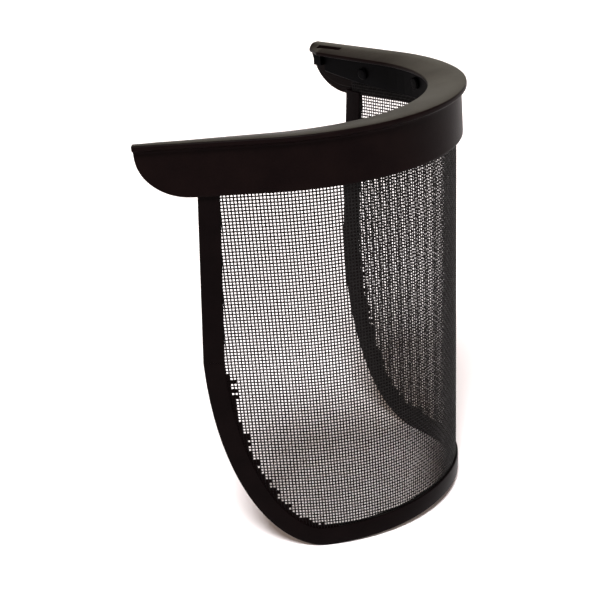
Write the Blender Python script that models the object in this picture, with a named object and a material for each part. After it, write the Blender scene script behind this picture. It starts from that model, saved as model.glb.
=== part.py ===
"""Forestry-style mesh face shield: a brow guard with a curved wire-mesh screen hanging from it.

Frame: origin on top of the guard's rim at the front centre, the wearer looks along -Y, +Z is up.
Lengths are in millimetres until they reach Blender. Every curved piece is laid out along the guard's
outer wall: s is the distance along it from the front centre, n the distance out from it.
"""

import bmesh
import bpy
import numpy as np
from mathutils import Matrix, Vector

MM = 0.001
GAP = 0.3  # between pieces that touch

# Plan of the guard's outer wall: from the front centre two arcs, then a straight leg, on each side.
FRONT_RADIUS = 90.0
FRONT_SWEEP = np.radians(42.0)
SIDE_RADIUS = 113.0
SIDE_SWEEP = np.radians(27.5)
LEG = 68.5
ARCS = ((FRONT_RADIUS, FRONT_SWEEP), (SIDE_RADIUS, SIDE_SWEEP))
ARC = FRONT_RADIUS * FRONT_SWEEP + SIDE_RADIUS * SIDE_SWEEP
REACH = ARC + LEG  # from the front centre to an end

# Brow guard section.
WALL_HEIGHT = 30.0
WALL_THICK = 3.4
WALL_LIP_THICK = 2.2  # the lower edge, thinned to clear the edge trim
WALL_STEP = 4.5  # height of that thinned edge
RIM_OUT = 3.2
RIM_DEEP = 2.6
RIM_FLAT = 3.0  # flat top, inwards of the wall's outer face
SHELF_FRONT = 18.5
SHELF_END = 11.0
SHELF_DROP_FRONT = 1.9
SHELF_DROP_END = 3.2
SHELF_THICK = 2.2
END_CORNER = 28.0  # length of the rounded lower corner at each end
END_HEIGHT = 7.0
END_SLANT = 13.0  # slanted inner corner of the shelf at each end, along the guard
END_NARROW = 6.0  # and across it
ARC_SEGMENTS = 33
LEG_SEGMENTS = 4
CORNER_SEGMENTS = 10

# Slot through the shelf at each end, for the carrier's clip.
SLOT_FROM_END = 8.0
SLOT_LONG = 20.0
SLOT_WIDE = 3.2
SLOT_IN = 4.0

# Screen.
SCREEN_THICK = 1.0
SCREEN_IN = 4.2  # middle of the sheet, inwards of the wall's outer face
SCREEN_LEAN = 0.041  # inward lean below the wall
SCREEN_TOP = -7.0
SCREEN_EDGE_PLAY = 0.2

# Outline of the edge trim, half of it, in the flattened screen.
TOP_HALF = 159.0
MAX_HALF = 167.3
MAX_LEVEL = -127.0
CORNER_WIDE = 60.5  # each lower corner is a quarter of an ellipse, slightly squared
CORNER_DEEP = 122.0
CORNER_POWER = 2.1
BOTTOM_ARCH = 5.0  # rise of the bottom edge towards the front centre
ARCH_HALF = 125.0
SIDE_POINTS = 7
CORNER_POINTS = 27
BOTTOM_POINTS = 13

# Edge trim section.
TRIM_WIDE = 12.6
TRIM_THICK = 3.4
TRIM_TOP = -26.5
TRIM_SPINE = 2.0
TRIM_ROUND = 0.8

# Retaining band.
BAND_THICK = 2.2
BAND_TOP = -4.6
BAND_FRONT_BOTTOM = -24.5
BAND_END_BOTTOM = -16.0
BAND_SHORT = 14.2  # it stops this far before the guard's end

# Push pins through band and screen into the wall.
PIN_SPACING = 47.0
PIN_SIDE_COUNT = 3
PIN_LEVEL = -14.0
PIN_RADIUS = 1.5
PIN_HEAD_RADIUS = 3.6
PIN_HEAD_HIGH = 1.7
PIN_BLIND_SKIN = 1.3
ROUND_SEGMENTS = 20

# End clips.
CLIP_FROM_END = 7.8
CLIP_LONG = 6.0
CLIP_WIDE = 6.4
CLIP_TOP = -5.8
CLIP_BOTTOM = -11.8
CLIP_SLOT_WIDE = 2.2
CLIP_SLOT_LONG = 3.8

SMOOTH_ANGLE = np.radians(32)


def clear_scene():
    for obj in list(bpy.data.objects):
        bpy.data.objects.remove(obj, do_unlink=True)


def plain_material(name, colour, roughness, metallic=0.0):
    material = bpy.data.materials.new(name)
    material.use_nodes = True
    shader = material.node_tree.nodes["Principled BSDF"]
    shader.inputs["Base Color"].default_value = (*colour, 1.0)
    shader.inputs["Roughness"].default_value = roughness
    shader.inputs["Metallic"].default_value = metallic
    material.diffuse_color = (*colour, 1.0)
    return material


def wall_frame(s):
    """Point on the wall's outer face in plan, and the outward direction there."""
    side = 1.0 if s >= 0 else -1.0
    left = abs(s)
    x = y = heading = 0.0
    for radius, sweep in ARCS:
        turned = heading + min(left / radius, sweep)
        x += radius * (np.sin(turned) - np.sin(heading))
        y += radius * (np.cos(heading) - np.cos(turned))
        left = max(0.0, left - radius * sweep)
        heading = turned
    x += left * np.cos(heading)
    y += left * np.sin(heading)
    return Vector((side * x, y, 0.0)), Vector((side * np.sin(heading), -np.cos(heading), 0.0))


def at(s, n, z):
    """World point, in metres, at s along the wall, n out from it and height z."""
    point, out = wall_frame(s)
    return (point + out * float(n) + Vector((0.0, 0.0, z))) * MM


def screen_point(s, n, z):
    """Like at(), measured from the middle of the leaning screen."""
    lean = SCREEN_LEAN * max(0.0, -z - WALL_HEIGHT)
    return at(s, n - SCREEN_IN - lean, z)


def finish_mesh(name, bm, material):
    bmesh.ops.recalc_face_normals(bm, faces=bm.faces)
    mesh = bpy.data.meshes.new(name)
    bm.to_mesh(mesh)
    bm.free()
    mesh.shade_smooth()
    mesh.set_sharp_from_angle(angle=SMOOTH_ANGLE)
    obj = bpy.data.objects.new(name, mesh)
    bpy.context.scene.collection.objects.link(obj)
    if material:
        mesh.materials.append(material)
    return obj


def loft(name, sections, material):
    """Closed body through a row of sections that have the same number of points."""
    bm = bmesh.new()
    rings = [[bm.verts.new(point) for point in section] for section in sections]
    count = len(rings[0])
    for first, second in zip(rings, rings[1:]):
        for i in range(count):
            j = (i + 1) % count
            bm.faces.new((first[i], first[j], second[j], second[i]))
    bm.faces.new(rings[0])
    bm.faces.new(rings[-1])
    return finish_mesh(name, bm, material)


def turned_into(bm, profile, place):
    """Adds a body turned about local Z from (radius, height) points that start and end on the axis."""
    verts = [bm.verts.new((r * MM, 0.0, z * MM)) for r, z in profile]
    edges = [bm.edges.new(pair) for pair in zip(verts, verts[1:])]
    bmesh.ops.spin(
        bm, geom=verts + edges, cent=(0, 0, 0), axis=(0, 0, 1), angle=2 * np.pi, steps=ROUND_SEGMENTS
    )
    bmesh.ops.remove_doubles(bm, verts=[v for v in bm.verts if not v.tag], dist=1e-6)
    new = [v for v in bm.verts if not v.tag]
    bmesh.ops.transform(bm, matrix=place, verts=new)
    for v in new:
        v.tag = True


def cut(obj, cutter):
    modifier = obj.modifiers.new("cut_" + cutter.name, "BOOLEAN")
    modifier.operation = "DIFFERENCE"
    modifier.solver = "EXACT"
    modifier.object = cutter


def as_cutter(obj):
    obj.hide_render = True
    obj.display_type = "WIRE"
    return obj


def even_stations(reach):
    """Stations from -reach to +reach with one flat facet centred on the front."""
    step = 2.0 * ARC / ARC_SEGMENTS
    half = [step * (i + 0.5) for i in range(ARC_SEGMENTS // 2 + 1)]
    corner_start = REACH - END_CORNER
    half += list(np.linspace(ARC, corner_start, LEG_SEGMENTS + 1)[1:])
    turn = np.linspace(0.0, np.pi / 2, CORNER_SEGMENTS + 1)[1:]
    half += [corner_start + END_CORNER * np.sin(angle) for angle in turn]
    half = [s for s in half if s < reach - 0.5] + [reach]
    return [-s for s in reversed(half)] + half


def wall_depth(s):
    """Height of the wall at s: full, then falling along a rounded lower corner at each end."""
    left = min(1.0, (REACH - abs(s)) / END_CORNER)
    return END_HEIGHT + (WALL_HEIGHT - END_HEIGHT) * np.sqrt(max(0.0, 1.0 - (1.0 - left) ** 2))


def guard_section(s):
    share = (s / REACH) ** 2
    inner = SHELF_FRONT + (SHELF_END - SHELF_FRONT) * share
    inner -= END_NARROW * max(0.0, 1.0 - (REACH - abs(s)) / END_SLANT)
    drop = SHELF_DROP_FRONT + (SHELF_DROP_END - SHELF_DROP_FRONT) * share
    depth = wall_depth(s)
    step = min(WALL_STEP, 0.2 * depth)
    profile = [
        (RIM_OUT - 0.6, 0.0),
        (RIM_OUT, -0.6),
        (RIM_OUT, -RIM_DEEP),
        (0.6, -RIM_DEEP - 0.8),
        (0.0, -RIM_DEEP - 1.6),
        (0.0, -depth + 1.4),
        (-0.6, -depth + 0.3),
        (-1.2, -depth),
        (-WALL_LIP_THICK, -depth),
        (-WALL_LIP_THICK, -depth + step),
        (-WALL_THICK, -depth + step + 0.6),
        (-WALL_THICK, -SHELF_THICK - 0.6),
        (-WALL_THICK - 0.8, -SHELF_THICK - 0.2),
        (-inner, -drop - SHELF_THICK),
        (-inner - 0.5, -drop - SHELF_THICK + 0.5),
        (-inner - 0.5, -drop - 0.5),
        (-inner, -drop),
        (-RIM_FLAT, 0.0),
    ]
    return [at(s, n, z) for n, z in profile]


def slot_cutter():
    """Two boxes that open a slot through the shelf at each end."""
    bm = bmesh.new()
    for side in (-1, 1):
        far = REACH - SLOT_FROM_END
        corners = [
            at(side * s, -SLOT_IN - wide, z)
            for z in (1.0, -8.0)
            for s, wide in ((far - SLOT_LONG, 0), (far, 0), (far, SLOT_WIDE), (far - SLOT_LONG, SLOT_WIDE))
        ]
        verts = [bm.verts.new(corner) for corner in corners]
        bm.faces.new(verts[:4])
        bm.faces.new(verts[4:])
        for i in range(4):
            j = (i + 1) % 4
            bm.faces.new((verts[i], verts[j], verts[4 + j], verts[4 + i]))
    return as_cutter(finish_mesh("slot_cutter", bm, None))


def pin_stations():
    return [PIN_SPACING * i for i in range(-PIN_SIDE_COUNT, PIN_SIDE_COUNT + 1)]


def pin_place(s, n):
    """Local Z points inwards, away from the wall, starting n out from the wall's face."""
    _, out = wall_frame(s)
    turn = (-out).to_track_quat("Z", "Y").to_matrix().to_4x4()
    return Matrix.Translation(at(s, n, PIN_LEVEL)) @ turn


def pin_cutter():
    bm = bmesh.new()
    radius = PIN_RADIUS + GAP
    for s in pin_stations():
        turned_into(bm, [(0, 0), (radius, 0), (radius, 9.0), (0, 9.0)], pin_place(s, -PIN_BLIND_SKIN))
    return as_cutter(finish_mesh("pin_cutter", bm, None))


def brow_guard(cutters):
    material = plain_material("guard_plastic", (0.018, 0.017, 0.015), 0.42)
    obj = loft("brow_guard", [guard_section(s) for s in even_stations(REACH)], material)
    for cutter in cutters:
        cut(obj, cutter)


def half_outline(top):
    """Outer outline of the trim from a level on one side to the bottom centre, as (s, z)."""
    levels = np.append(top, np.linspace(-WALL_HEIGHT, MAX_LEVEL, SIDE_POINTS, endpoint=False))
    fraction = (levels - MAX_LEVEL) / (-WALL_HEIGHT - MAX_LEVEL)
    side = np.column_stack([MAX_HALF - (MAX_HALF - TOP_HALF) * fraction, levels])
    angle = np.linspace(0.0, np.pi / 2, CORNER_POINTS)
    power = 2.0 / CORNER_POWER
    corner = np.column_stack(
        [
            MAX_HALF - CORNER_WIDE + CORNER_WIDE * np.cos(angle) ** power,
            MAX_LEVEL - CORNER_DEEP * np.sin(angle) ** power,
        ]
    )
    bottom_s = np.linspace(MAX_HALF - CORNER_WIDE, 0.0, BOTTOM_POINTS)[1:]
    bottom = np.column_stack([bottom_s, np.full_like(bottom_s, MAX_LEVEL - CORNER_DEEP)])
    outline = np.vstack([side, corner, bottom])
    outline[:, 1] += BOTTOM_ARCH * 0.5 * (1.0 + np.cos(np.pi * np.minimum(1.0, outline[:, 0] / ARCH_HALF)))
    return outline


def inward(points):
    """Unit directions in the flattened screen that point from the outline towards its middle."""
    along = np.gradient(points, axis=0)
    along[-1] = (-1.0, 0.0)
    along /= np.linalg.norm(along, axis=1)[:, None]
    return np.column_stack([along[:, 1], -along[:, 0]])


def whole(half, sign):
    """Both halves of a list of pairs: the second is the mirror of the first."""
    return np.vstack([half, half[-2::-1] * np.array([sign, 1.0])])


def trim_section(point, into):
    """U-channel: across runs from the outer edge inwards, through is the screen's thickness."""
    half = TRIM_THICK / 2
    groove = SCREEN_THICK / 2 + GAP
    one_side = [
        (0.0, half - TRIM_ROUND),
        (TRIM_ROUND, half),
        (TRIM_WIDE - 0.5, half),
        (TRIM_WIDE, half - 0.5),
        (TRIM_WIDE, groove),
        (TRIM_SPINE, groove),
    ]
    profile = one_side + [(across, -through) for across, through in reversed(one_side)]
    return [
        screen_point(point[0] + into[0] * across, through, point[1] + into[1] * across)
        for across, through in profile
    ]


def edge_trim():
    half = half_outline(TRIM_TOP)
    points = whole(half, -1.0)
    into = whole(inward(half), -1.0)
    material = plain_material("trim_plastic", (0.012, 0.011, 0.011), 0.5)
    loft("edge_trim", [trim_section(p, d) for p, d in zip(points, into)], material)


def mesh_screen(cutter):
    """Flat sheet with the outline of the groove's floor, scored along the bends, then curved."""
    half = half_outline(SCREEN_TOP)
    outline = whole(half + inward(half) * (TRIM_SPINE + GAP + SCREEN_EDGE_PLAY), -1.0)
    bm = bmesh.new()
    bm.faces.new([bm.verts.new((s, z, 0.0)) for s, z in outline])
    scores = [((s, 0, 0), (1, 0, 0)) for s in even_stations(REACH) if abs(s) < MAX_HALF - 6.0]
    for point, normal in scores + [((0, -WALL_HEIGHT, 0), (0, 1, 0))]:
        geometry = bm.verts[:] + bm.edges[:] + bm.faces[:]
        bmesh.ops.bisect_plane(bm, geom=geometry, plane_co=point, plane_no=normal, dist=1e-4)
    made = bmesh.ops.extrude_face_region(bm, geom=bm.faces[:], use_keep_orig=True)["geom"]
    front = {item for item in made if isinstance(item, bmesh.types.BMVert)}
    for v in bm.verts:
        through = SCREEN_THICK / 2 if v in front else -SCREEN_THICK / 2
        v.co = screen_point(v.co.x, through, v.co.y)
    material = plain_material("screen_wire", (0.05, 0.048, 0.046), 0.45, 0.6)
    cut(finish_mesh("mesh_screen", bm, material), cutter)


def band_section(s):
    outer = -SCREEN_IN - SCREEN_THICK / 2 - GAP
    inner = outer - BAND_THICK
    share = (s / (REACH - BAND_SHORT)) ** 4
    bottom = BAND_FRONT_BOTTOM + (BAND_END_BOTTOM - BAND_FRONT_BOTTOM) * share
    profile = [
        (outer, BAND_TOP - 0.6),
        (outer, bottom),
        (inner + 0.5, bottom),
        (inner, bottom + 0.5),
        (inner, BAND_TOP - 1.6),
        (inner + 0.5, BAND_TOP - 1.1),
    ]
    return [at(s, n, z) for n, z in profile]


def retaining_band(cutter):
    material = plain_material("band_plastic", (0.014, 0.014, 0.015), 0.55)
    sections = [band_section(s) for s in even_stations(REACH - BAND_SHORT)]
    cut(loft("retaining_band", sections, material), cutter)


def push_pins():
    material = plain_material("pin_plastic", (0.02, 0.02, 0.02), 0.4)
    seat = -(SCREEN_IN + SCREEN_THICK / 2 + GAP + BAND_THICK + GAP)
    tip = -(PIN_BLIND_SKIN + GAP)
    shank = tip - seat
    profile = [
        (0.0, -shank),
        (PIN_RADIUS - 0.5, -shank),
        (PIN_RADIUS, -shank + 0.7),
        (PIN_RADIUS, 0.0),
        (PIN_HEAD_RADIUS, 0.0),
        (PIN_HEAD_RADIUS, 0.5 * PIN_HEAD_HIGH),
        (0.75 * PIN_HEAD_RADIUS, 0.88 * PIN_HEAD_HIGH),
        (0.0, PIN_HEAD_HIGH),
    ]
    for number, s in enumerate(pin_stations(), start=1):
        bm = bmesh.new()
        turned_into(bm, profile, pin_place(s, seat))
        finish_mesh(f"push_pin_{number}", bm, material)


def end_clip(name, side, material):
    """U-shaped block under the shelf's end, its slot open towards the end."""
    outer = -WALL_THICK - GAP
    start = REACH - CLIP_FROM_END - CLIP_LONG
    mid = outer - CLIP_WIDE / 2
    outline = [
        (0.0, outer),
        (CLIP_LONG, outer),
        (CLIP_LONG, mid + CLIP_SLOT_WIDE / 2),
        (CLIP_LONG - CLIP_SLOT_LONG, mid + CLIP_SLOT_WIDE / 2),
        (CLIP_LONG - CLIP_SLOT_LONG, mid - CLIP_SLOT_WIDE / 2),
        (CLIP_LONG, mid - CLIP_SLOT_WIDE / 2),
        (CLIP_LONG, outer - CLIP_WIDE),
        (0.0, outer - CLIP_WIDE),
    ]
    sections = [
        [at(side * (start + along), n, z) for along, n in outline] for z in (CLIP_TOP, CLIP_BOTTOM)
    ]
    loft(name, sections, material)


def end_clips():
    material = plain_material("clip_plastic", (0.015, 0.015, 0.015), 0.5)
    end_clip("end_clip_left", 1, material)
    end_clip("end_clip_right", -1, material)


def main():
    clear_scene()
    pins = pin_cutter()
    brow_guard([slot_cutter(), pins])
    retaining_band(pins)
    mesh_screen(pins)
    edge_trim()
    push_pins()
    end_clips()


main()
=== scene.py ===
"""Mesh face shield: black moulded brow guard, woven-wire screen and moulded edge trim.

Lengths are in millimetres until place() turns them into metres. Every piece is laid out along the
guard's outer wall: s runs along it from the front centre, n stands out from it, z is the height.
"""

import bpy
import numpy as np
from mathutils import Matrix, Vector


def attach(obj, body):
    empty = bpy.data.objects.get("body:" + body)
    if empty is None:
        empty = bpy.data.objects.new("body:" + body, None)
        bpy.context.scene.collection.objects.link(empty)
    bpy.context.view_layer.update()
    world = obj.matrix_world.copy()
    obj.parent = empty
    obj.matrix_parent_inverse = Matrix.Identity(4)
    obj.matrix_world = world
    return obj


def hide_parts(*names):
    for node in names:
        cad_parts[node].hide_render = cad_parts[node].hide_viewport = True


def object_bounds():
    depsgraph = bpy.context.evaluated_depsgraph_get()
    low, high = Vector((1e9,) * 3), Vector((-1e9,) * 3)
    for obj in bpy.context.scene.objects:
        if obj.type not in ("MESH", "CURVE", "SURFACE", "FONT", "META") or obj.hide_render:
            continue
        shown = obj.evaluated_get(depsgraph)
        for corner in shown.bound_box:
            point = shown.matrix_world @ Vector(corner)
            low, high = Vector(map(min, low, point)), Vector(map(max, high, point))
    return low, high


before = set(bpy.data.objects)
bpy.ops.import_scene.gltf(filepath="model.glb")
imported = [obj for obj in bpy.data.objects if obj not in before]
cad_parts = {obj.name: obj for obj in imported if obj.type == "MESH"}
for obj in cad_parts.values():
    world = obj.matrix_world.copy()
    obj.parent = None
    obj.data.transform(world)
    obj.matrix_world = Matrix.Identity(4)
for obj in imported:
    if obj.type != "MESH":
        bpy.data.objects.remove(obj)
cad_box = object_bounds()

MM = 0.001
BODY = "root"

# Plan of the guard's outer wall on each side of the front centre: two arcs and a straight leg.
ARCS = ((90.0, np.radians(42.0)), (113.0, np.radians(27.5)))
LEG = 68.5
ARC = sum(radius * sweep for radius, sweep in ARCS)
REACH = ARC + LEG

# Guard. Its shelf narrows and drops towards the ends, and its wall is rounded off there.
WALL_HEIGHT = 30.0
WALL_THICK = 3.4
WALL_LIP_THICK = 2.2
WALL_STEP = 4.5
RIM_OUT = 3.1
RIM_DEEP = 2.6
RIM_FLAT = 3.0
SHELF_FRONT = 19.0
SHELF_END = 11.5
SHELF_DROP_FRONT = 1.9
SHELF_DROP_END = 3.2
SHELF_THICK = 2.2
END_CORNER = 28.0
END_HEIGHT = 7.0
END_SLANT = 13.0
END_NARROW = 6.0
SLOT_FROM_END = 8.0
SLOT_LONG = 20.0
SLOT_WIDE = 3.2
SLOT_IN = 4.0

# Screen, hung inside the wall and leaning inwards below it.
SCREEN_IN = 4.2
SCREEN_LEAN = 0.041
SCREEN_TOP = -7.0
PITCH = 1.9
WIRE_WIDE = 0.41
WIRE_DEEP = 0.26
CRIMP = 0.25

# Outer outline of the trim, flattened: straight flanks, broad corners and an arched bottom.
TOP_HALF = 159.0
MAX_HALF = 167.3
MAX_LEVEL = -127.0
CORNER_WIDE = 60.5
CORNER_DEEP = 122.0
CORNER_POWER = 2.1
BOTTOM_ARCH = 5.0
ARCH_HALF = 125.0

# Trim, a channel that the screen's edge sits in. It starts a little way up inside the guard.
TRIM_WIDE = 12.6
TRIM_THICK = 3.4
TRIM_TOP = -26.5
TRIM_GROOVE = 0.8
TRIM_SPINE = 2.0
TRIM_SHY = 0.05
TRIM_LIP = 0.9
WIRE_DEEP_IN_TRIM = TRIM_SPINE + 1.5

# Flash: cells of the weave that the trim's plastic filled, with a longer spur here and there.
FLASH_TOP = -134.0
FLASH_FROM = 98.0
FLASH_REACH = 1.0
FLASH_UNDER_TRIM = 3.0
FLASH_OVERLAP = 0.02
FLASH_RING = ((0.82, 0.95), (1.0, 0.55), (1.0, -0.55), (0.82, -0.95))
SPUR_SHARE = 0.28
SPUR_SIDEWAYS = 1.5 * PITCH
SPUR_UPWARDS = 1.2 * PITCH

# Near-black plastics: darkest and lightest colour, roughness, grain and specular level.
PLASTICS = {
    "guard_plastic": ((0.0024, 0.001, 0.001), (0.004, 0.0018, 0.0016), 0.4, 1.0, 0.022),
    "trim_plastic": ((0.0016, 0.0008, 0.0008), (0.0028, 0.0014, 0.0014), 0.36, 0.6, 0.022),
    "inner_plastic": ((0.0008, 0.0008, 0.001), (0.0018, 0.0018, 0.0022), 0.45, 0.6, 0.02),
}

# Stage, in metres.
MIDDLE = Vector((0.0, 0.06, -0.12))
FLOOR_HALF = 60.0
KEY_STRENGTH = 6.5
KEY_ANGLE = np.radians(19.0)
KEY_COLOUR = (0.97, 1.0, 1.04)
HORIZON_COLOUR = (0.95, 0.94, 0.93, 1.0)
OVERHEAD_COLOUR = (0.2, 0.144, 0.132, 1.0)

CAMERA_AZIMUTH = np.radians(-63.5)
CAMERA_ELEVATION = np.radians(22.59)
CAMERA_ROLL = np.radians(-5.16)
CAMERA_DISTANCE = 0.7993
CAMERA_AIM = Vector((-0.0269, 0.0885, -0.1174))
CAMERA_LENS = 83.0


# ---------------------------------------------------------------- layout


def plan(s):
    """Points of the wall's outer face in plan, and its outward directions, for an array of s."""
    s = np.asarray(s, float)
    side = np.where(s >= 0, 1.0, -1.0)
    left = np.abs(s)
    x = np.zeros_like(s)
    y = np.zeros_like(s)
    heading = np.zeros_like(s)
    for radius, sweep in ARCS:
        turned = heading + np.minimum(left / radius, sweep)
        x += radius * (np.sin(turned) - np.sin(heading))
        y += radius * (np.cos(heading) - np.cos(turned))
        left = np.maximum(0.0, left - radius * sweep)
        heading = turned
    x += left * np.cos(heading)
    y += left * np.sin(heading)
    return side * x, y, side * np.sin(heading), -np.cos(heading)


def place(s, n, z):
    """World points in metres for arrays of s, n and z."""
    s, n, z = np.broadcast_arrays(*(np.asarray(v, float) for v in (s, n, z)))
    x, y, out_x, out_y = plan(s)
    return np.stack([x + n * out_x, y + n * out_y, z], axis=-1) * MM


def on_screen(s, n, z):
    """Like place(), measured from the middle of the leaning screen."""
    z = np.asarray(z, float)
    lean = SCREEN_LEAN * np.maximum(0.0, -z - WALL_HEIGHT)
    return place(s, np.asarray(n, float) - SCREEN_IN - lean, z)


def trim_half_outline(top, step):
    """Outer outline of the trim from a level on one side to the bottom centre, as rows of (s, z)."""
    levels = np.arange(top, MAX_LEVEL, -step)
    fraction = (levels - MAX_LEVEL) / (-WALL_HEIGHT - MAX_LEVEL)
    side = np.column_stack([MAX_HALF - (MAX_HALF - TOP_HALF) * fraction, levels])
    angle = np.linspace(0.0, np.pi / 2, int(160 / step))
    power = 2.0 / CORNER_POWER
    corner_s = MAX_HALF - CORNER_WIDE + CORNER_WIDE * np.cos(angle) ** power
    corner = np.column_stack([corner_s, MAX_LEVEL - CORNER_DEEP * np.sin(angle) ** power])
    bottom_s = np.linspace(MAX_HALF - CORNER_WIDE, 0.0, int(100 / step))[1:]
    bottom = np.column_stack([bottom_s, np.full_like(bottom_s, MAX_LEVEL - CORNER_DEEP)])
    outline = np.vstack([side, corner, bottom])
    arch = 0.5 * (1 + np.cos(np.pi * np.minimum(1, outline[:, 0] / ARCH_HALF)))
    outline[:, 1] += BOTTOM_ARCH * arch
    return outline


def inward(points):
    """Unit directions in the flattened screen, from the outline towards its middle."""
    along = np.gradient(points, axis=0)
    along[-1] = (-1.0, 0.0)
    along /= np.linalg.norm(along, axis=1)[:, None]
    return np.column_stack([along[:, 1], -along[:, 0]])


def whole(half):
    return np.vstack([half, half[-2::-1] * np.array([-1.0, 1.0])])


def rounded(profile, steps=3):
    """Polygon of (across, up, radius) corners with each corner turned into a short curve."""
    points = np.array([corner[:2] for corner in profile], float)
    result = []
    for i, (_, _, radius) in enumerate(profile):
        here, before, after = points[i], points[i - 1], points[(i + 1) % len(points)]
        back, ahead = before - here, after - here
        back_length, ahead_length = np.linalg.norm(back), np.linalg.norm(ahead)
        start = here + back / back_length * min(radius, 0.45 * back_length)
        end = here + ahead / ahead_length * min(radius, 0.45 * ahead_length)
        for t in np.linspace(0.0, 1.0, steps + 1):
            result.append((1 - t) ** 2 * start + 2 * t * (1 - t) * here + t**2 * end)
    return np.array(result)


# ---------------------------------------------------------------- meshes


def new_piece(name, verts, faces, material, node=None, slot=None, smooth_angle=40.0):
    mesh = bpy.data.meshes.new(name)
    mesh.from_pydata([tuple(v) for v in verts], [], [tuple(f) for f in faces])
    mesh.update()
    mesh.shade_smooth()
    mesh.set_sharp_from_angle(angle=np.radians(smooth_angle))
    obj = bpy.data.objects.new(name, mesh)
    bpy.context.scene.collection.objects.link(obj)
    if material:
        mesh.materials.append(material)
    if slot:
        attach(obj, BODY)
    if node:
        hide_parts(node)
    return obj


def ring_faces(rings, count, caps=True):
    """Quads between successive rings of the same size, with a cap at each end."""
    faces = []
    for r in range(rings - 1):
        for i in range(count):
            j = (i + 1) % count
            a, b = r * count, (r + 1) * count
            faces.append((a + i, b + i, b + j, a + j))
    if caps:
        faces.append(tuple(range(count)))
        faces.append(tuple((rings - 1) * count + i for i in reversed(range(count))))
    return faces


def box_cutter(name, corners):
    """Cutter box from its four lower and four upper corners; subtract() removes it after the cut."""
    sides = [(i, (i + 1) % 4, 4 + (i + 1) % 4, 4 + i) for i in range(4)]
    return new_piece(name, corners, [(3, 2, 1, 0), (4, 5, 6, 7), *sides], None)


def subtract(obj, cutters):
    """Cuts the cutters from obj, keeps the result in its mesh and removes the cutters."""
    for cutter in cutters:
        modifier = obj.modifiers.new(cutter.name, "BOOLEAN")
        modifier.operation = "DIFFERENCE"
        modifier.solver = "EXACT"
        modifier.object = cutter
    graph = bpy.context.evaluated_depsgraph_get()
    mesh = bpy.data.meshes.new_from_object(obj.evaluated_get(graph), depsgraph=graph)
    obj.modifiers.clear()
    mesh.set_sharp_from_angle(angle=np.radians(40.0))
    obj.data = mesh
    for cutter in cutters:
        bpy.data.objects.remove(cutter)


# ---------------------------------------------------------------- materials


class Nodes:
    """Short names for building one material's node tree."""

    def __init__(self, name):
        self.material = bpy.data.materials.new(name)
        self.material.use_nodes = True
        self.tree = self.material.node_tree
        self.shader = self.tree.nodes["Principled BSDF"]
        self.position = self.tree.nodes.new("ShaderNodeNewGeometry").outputs["Position"]

    def add(self, kind, **inputs):
        node = self.tree.nodes.new(kind)
        for key, value in inputs.items():
            node.inputs[key.replace("_", " ")].default_value = value
        return node

    def link(self, a, b):
        self.tree.links.new(a, b)

    def noise(self, scale, detail=3.0, roughness=0.55):
        node = self.add("ShaderNodeTexNoise", Scale=scale, Detail=detail, Roughness=roughness)
        self.link(self.position, node.inputs["Vector"])
        return node.outputs["Fac"]

    def ramp(self, value, low, high, a, b):
        node = self.tree.nodes.new("ShaderNodeMapRange")
        node.inputs["From Min"].default_value = low
        node.inputs["From Max"].default_value = high
        node.inputs["To Min"].default_value = a
        node.inputs["To Max"].default_value = b
        self.link(value, node.inputs["Value"])
        return node.outputs["Result"]

    def colours(self, value, stops):
        node = self.tree.nodes.new("ShaderNodeValToRGB")
        elements = node.color_ramp.elements
        while len(elements) < len(stops):
            elements.new(0.5)
        for element, (place_on, colour) in zip(elements, stops):
            element.position = place_on
            element.color = (*colour, 1.0)
        self.link(value, node.inputs["Fac"])
        return node.outputs["Color"]

    def bump(self, height, strength, distance, normal=None):
        node = self.add("ShaderNodeBump", Strength=strength, Distance=distance)
        self.link(height, node.inputs["Height"])
        if normal:
            self.link(normal, node.inputs["Normal"])
        return node.outputs["Normal"]

    def set(self, **inputs):
        for key, value in inputs.items():
            self.shader.inputs[key.replace("_", " ")].default_value = value


def black_plastic(name, dark, light, roughness, grain, specular):
    """Moulded black plastic: fine sparked grain, faint tone change and slightly uneven gloss."""
    m = Nodes(name)
    m.link(m.colours(m.noise(55.0), [(0.3, dark), (0.72, light)]), m.shader.inputs["Base Color"])
    m.link(m.ramp(m.noise(24.0, 4.0), 0.25, 0.75, roughness - 0.05, roughness + 0.06),
           m.shader.inputs["Roughness"])
    fine = m.bump(m.noise(2600.0, 2.0), 0.22 * grain, 0.00012)
    m.link(m.bump(m.noise(420.0, 2.0), 0.1 * grain, 0.0004, fine), m.shader.inputs["Normal"])
    m.set(Specular_IOR_Level=specular)
    return m.material


def wire_coating():
    """Black coated steel wire, a little worn at random along its length."""
    m = Nodes("wire_coating")
    stops = [(0.35, (0.003, 0.0026, 0.0025)), (0.8, (0.009, 0.0078, 0.0072))]
    m.link(m.colours(m.noise(900.0, 2.0), stops), m.shader.inputs["Base Color"])
    m.link(m.ramp(m.noise(300.0), 0.3, 0.7, 0.4, 0.58), m.shader.inputs["Roughness"])
    m.set(Specular_IOR_Level=0.08)
    return m.material


def floor_paint():
    m = Nodes("floor_paint")
    m.link(m.colours(m.noise(3.0), [(0.3, (0.8, 0.74, 0.725)), (0.7, (0.82, 0.76, 0.745))]),
           m.shader.inputs["Base Color"])
    m.set(Roughness=0.9, Specular_IOR_Level=0.1)
    return m.material


# ---------------------------------------------------------------- brow guard


def guard_stations():
    """Stations along the guard, closer together round the corner of each end."""
    corner_start = REACH - END_CORNER
    straight = np.arange(0.0, corner_start, 2.0)
    corner = corner_start + END_CORNER * np.sin(np.linspace(0.0, np.pi / 2, 26))
    half = np.concatenate([straight, corner])
    return np.concatenate([-half[:0:-1], half])


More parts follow.
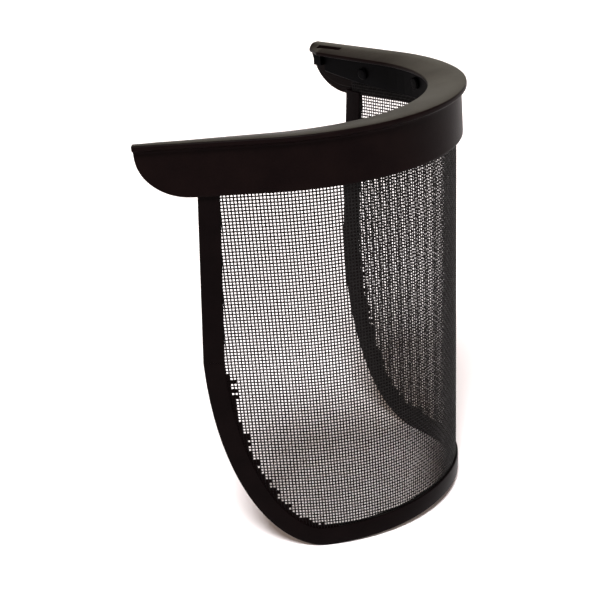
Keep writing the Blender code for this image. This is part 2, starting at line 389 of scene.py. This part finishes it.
def guard_profile(s):
    share = (s / REACH) ** 2
    inner = SHELF_FRONT + (SHELF_END - SHELF_FRONT) * share
    inner -= END_NARROW * max(0.0, 1.0 - (REACH - abs(s)) / END_SLANT)
    drop = SHELF_DROP_FRONT + (SHELF_DROP_END - SHELF_DROP_FRONT) * share
    left = min(1.0, (REACH - abs(s)) / END_CORNER)
    depth = END_HEIGHT + (WALL_HEIGHT - END_HEIGHT) * np.sqrt(max(0.0, 1.0 - (1.0 - left) ** 2))
    step = min(WALL_STEP, 0.2 * depth)
    return rounded(
        [
            (RIM_OUT, 0.0, 0.9),
            (RIM_OUT, -RIM_DEEP, 0.7),
            (0.0, -RIM_DEEP - 1.4, 1.2),
            (0.0, -depth, 1.6),
            (-WALL_LIP_THICK, -depth, 0.5),
            (-WALL_LIP_THICK, -depth + step, 0.3),
            (-WALL_THICK, -depth + step + 0.6, 0.3),
            (-WALL_THICK, -SHELF_THICK - 0.3, 0.8),
            (-inner, -drop - SHELF_THICK, 0.8),
            (-inner, -drop, 0.8),
            (-RIM_FLAT, 0.0, 2.5),
        ]
    )


def slot_cutters():
    cutters = []
    for side in (-1.0, 1.0):
        far = REACH - SLOT_FROM_END
        s = side * np.array([far - SLOT_LONG, far, far, far - SLOT_LONG])
        n = -SLOT_IN - SLOT_WIDE * np.array([0.0, 0.0, 1.0, 1.0])[:: int(side)]
        corners = np.vstack([place(s, n, -8.0), place(s, n, 1.0)])
        cutters.append(box_cutter(f"slot_{int(side)}", corners))
    return cutters


def brow_guard(material):
    stations = guard_stations()
    profiles = [guard_profile(s) for s in stations]
    verts = np.vstack([place(s, p[:, 0], p[:, 1]) for s, p in zip(stations, profiles)])
    faces = ring_faces(len(stations), len(profiles[0]))
    guard = new_piece("brow_guard_moulding", verts, faces, material, "brow_guard", "guard")
    subtract(guard, slot_cutters())
    edges = guard.modifiers.new("edges", "BEVEL")
    edges.width = 0.35 * MM
    edges.segments = 2
    edges.limit_method = "ANGLE"
    edges.angle_limit = np.radians(55)
    edges.harden_normals = True
    return guard


# ---------------------------------------------------------------- edge trim


def edge_trim(material):
    half = trim_half_outline(TRIM_TOP, 2.0)
    points, into = whole(half), whole(inward(half))
    thick = TRIM_THICK / 2
    wide = TRIM_WIDE - TRIM_LIP
    profile = rounded(
        [
            (TRIM_SHY, thick, 1.1),
            (wide, thick, 0.8),
            (wide, TRIM_GROOVE, 0.2),
            (TRIM_SPINE, TRIM_GROOVE, 0.2),
            (TRIM_SPINE, -TRIM_GROOVE, 0.2),
            (wide, -TRIM_GROOVE, 0.2),
            (wide, -thick, 0.8),
            (TRIM_SHY, -thick, 1.1),
        ]
    )
    across = points[:, None, :] + into[:, None, :] * profile[None, :, 0:1]
    through = np.broadcast_to(profile[None, :, 1], across.shape[:2])
    verts = on_screen(across[..., 0], through, across[..., 1]).reshape(-1, 3)
    faces = ring_faces(len(points), len(profile))
    return new_piece("edge_trim_channel", verts, faces, material, "edge_trim", "trim")


def grid_lines(low, high):
    """Wire positions, symmetric about the front centre or counted down from the top."""
    return np.arange(np.ceil(low / PITCH), np.floor(high / PITCH) + 1) * PITCH


def trim_flash(material):
    """Plastic that filled whole cells of the weave along the trim's inner edge, lower down."""
    rng = np.random.default_rng(7)
    cells_s = grid_lines(-MAX_HALF, MAX_HALF)[:-1] + PITCH / 2
    cells_z = grid_lines(MAX_LEVEL - CORNER_DEEP, FLASH_TOP)[:-1] + PITCH / 2
    s, z = np.meshgrid(cells_s, cells_z)
    spurs = SPUR_SIDEWAYS * (rng.random((2, len(cells_z), 1)) < SPUR_SHARE)
    sideways = FLASH_REACH + np.where(s > 0, *spurs)
    upwards = FLASH_REACH + SPUR_UPWARDS * (rng.random(len(cells_s)) < SPUR_SHARE)
    half_width, lowest = limits_inside(TRIM_WIDE - FLASH_UNDER_TRIM)
    near = (np.abs(s) < half_width(z)) & (z > lowest(s)) & (np.abs(s) > FLASH_FROM)
    half_width, lowest = limits_inside(TRIM_WIDE)
    filled = near & ((np.abs(s) > half_width(z) - sideways) | (z < lowest(s) + upwards))
    s, z = s[filled], z[filled]
    square = np.array([(-1, -1), (1, -1), (1, 1), (-1, 1)]) * (PITCH / 2 + FLASH_OVERLAP)
    verts, faces = [], []
    for k in range(len(s)):
        for shrink, n in FLASH_RING:
            verts.append(on_screen(s[k] + square[:, 0] * shrink, n, z[k] + square[:, 1] * shrink))
        faces += [tuple(16 * k + i for i in face) for face in ring_faces(4, 4)]
    return new_piece("trim_flash", np.vstack(verts), faces, material, None, "trim")


# ---------------------------------------------------------------- woven wire


def limits_inside(depth):
    """Half-width at a level, and lowest level at an s, of the line this deep inside the outline."""
    half = trim_half_outline(SCREEN_TOP, 1.0)
    edge = half + inward(half) * depth
    flank = edge[np.argmin(edge[:, 1]) :: -1]
    columns = np.argsort(edge[:, 0])
    lower = edge[columns][edge[columns, 1] < MAX_LEVEL]

    def half_width(z):
        return np.interp(z, flank[:, 1], flank[:, 0])

    def lowest(s):
        return np.interp(np.abs(s), lower[:, 0], lower[:, 1])

    return half_width, lowest


def wires(name, paths, side, material):
    """One mesh of four-sided wires. A path is arrays of s, n and z; side is its width's (s, z)."""
    ds, dz = side
    ring = [(ds, 0.0, dz), (0.0, 1.0, 0.0), (-ds, 0.0, -dz), (0.0, -1.0, 0.0)]
    verts, faces, base = [], [], 0
    for s, n, z in paths:
        corners = [
            on_screen(s + WIRE_WIDE * a, n + WIRE_DEEP * b, z + WIRE_WIDE * c) for a, b, c in ring
        ]
        verts.append(np.stack(corners, axis=1).reshape(-1, 3))
        faces += [tuple(base + i for i in face) for face in ring_faces(len(s), 4)]
        base += 4 * len(s)
    return new_piece(name, np.vstack(verts), faces, material, "mesh_screen", "screen", 80.0)


def unbroken(keep):
    """Runs of neighbouring crossings that a wire goes through, as index arrays of four or more."""
    index = np.flatnonzero(keep)
    runs = np.split(index, np.flatnonzero(np.diff(index) > 1) + 1)
    return [run for run in runs if len(run) > 3]


def woven_screen(material):
    """Plain weave: each wire passes over and under its neighbours in turn."""
    half_width, lowest = limits_inside(WIRE_DEEP_IN_TRIM)
    uprights = grid_lines(WIRE_DEEP_IN_TRIM - MAX_HALF, MAX_HALF - WIRE_DEEP_IN_TRIM)
    levels = grid_lines(MAX_LEVEL - CORNER_DEEP, SCREEN_TOP)[::-1]
    column = np.round(uprights / PITCH).astype(int)
    row = np.round(levels / PITCH).astype(int)
    warp = []
    for s, i in zip(uprights, column):
        for run in unbroken((np.abs(s) < half_width(levels)) & (levels > lowest(s))):
            over = np.where((i + row[run]) % 2 == 0, 1.0, -1.0)
            warp.append((np.full(len(run), s), CRIMP * over, levels[run]))
    weft = []
    for z, j in zip(levels, row):
        for run in unbroken((np.abs(uprights) < half_width(z)) & (z > lowest(uprights))):
            over = np.where((column[run] + j) % 2 == 0, -1.0, 1.0)
            weft.append((uprights[run], CRIMP * over, np.full(len(run), z)))
    wires("screen_warp", warp, (1.0, 0.0), material)
    wires("screen_weft", weft, (0.0, 1.0), material)


# ---------------------------------------------------------------- stage


def floor():
    turns = ((-1, -1), (1, -1), (1, 1), (-1, 1))
    corners = [(x * FLOOR_HALF, y * FLOOR_HALF, cad_box[0].z) for x, y in turns]
    obj = new_piece("floor", corners, [(0, 1, 2, 3)], floor_paint())


def soft_light(name, where, size, power, colour=(1.0, 1.0, 1.0)):
    data = bpy.data.lights.new(name, "AREA")
    data.shape = "RECTANGLE"
    data.size, data.size_y = size
    data.energy = power
    data.color = colour
    add_light(data, where)


def add_light(data, where):
    """Puts a light there, turned to the middle of the object."""
    light = bpy.data.objects.new(data.name, data)
    light.location = where
    light.rotation_euler = (MIDDLE - where).to_track_quat("-Z", "Y").to_euler()
    bpy.context.scene.collection.objects.link(light)


def direction(azimuth, elevation):
    """Unit vector that points this way round from the front and this far up, in radians."""
    level = np.cos(elevation)
    return Vector((np.sin(azimuth) * level, -np.cos(azimuth) * level, np.sin(elevation)))


def around(azimuth, elevation, distance):
    """Place at this azimuth and elevation, in degrees, seen from the middle of the object."""
    return MIDDLE + direction(np.radians(azimuth), np.radians(elevation)) * distance


def pale_room():
    """Surroundings: pale at the level of the horizon, dimmer and warmer overhead."""
    world = bpy.data.worlds.new("pale_room")
    world.use_nodes = True
    nodes, links = world.node_tree.nodes, world.node_tree.links
    around_scene = nodes.new("ShaderNodeTexCoord").outputs["Generated"]
    height = nodes.new("ShaderNodeSeparateXYZ")
    links.new(around_scene, height.inputs["Vector"])
    ramp = nodes.new("ShaderNodeValToRGB")
    low, high = ramp.color_ramp.elements
    low.position, low.color = 0.04, HORIZON_COLOUR
    high.position, high.color = 0.3, OVERHEAD_COLOUR
    links.new(height.outputs["Z"], ramp.inputs["Fac"])
    links.new(ramp.outputs["Color"], nodes["Background"].inputs["Color"])
    return world


def studio():
    key = bpy.data.lights.new("key", "SUN")
    key.energy = KEY_STRENGTH
    key.angle = KEY_ANGLE
    key.color = KEY_COLOUR
    add_light(key, around(-69, 55, 4.5))
    soft_light("behind", around(116, 22, 2.2), (2.6, 0.9), 17.0, (1.0, 0.94, 0.76))
    soft_light("front", around(-18, 8, 2.0), (0.4, 0.4), 1.5)
    bpy.context.scene.world = pale_room()
    bpy.context.scene.view_settings.view_transform = "Standard"


def camera():
    back = direction(CAMERA_AZIMUTH, CAMERA_ELEVATION)
    data = bpy.data.cameras.new("camera")
    data.lens = CAMERA_LENS
    data.sensor_width = 36.0
    obj = bpy.data.objects.new("camera", data)
    bpy.context.scene.collection.objects.link(obj)
    turn = (-back).to_track_quat("-Z", "Y").to_matrix().to_4x4()
    roll = Matrix.Rotation(CAMERA_ROLL, 4, "Z")
    obj.matrix_world = Matrix.Translation(CAMERA_AIM + back * CAMERA_DISTANCE) @ turn @ roll
    bpy.context.scene.camera = obj


def dress(node, material):
    """New material for a node that keeps its shape."""
    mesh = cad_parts[node].data
    mesh.materials.clear()
    mesh.materials.append(material)


def main():
    camera()
    studio()
    floor()
    guard, trim, inner = (black_plastic(name, *look) for name, look in PLASTICS.items())
    brow_guard(guard)
    edge_trim(trim)
    trim_flash(trim)
    woven_screen(wire_coating())
    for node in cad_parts:
        if node.startswith(("retaining", "end_clip", "push_pin")):
            dress(node, inner)


main()
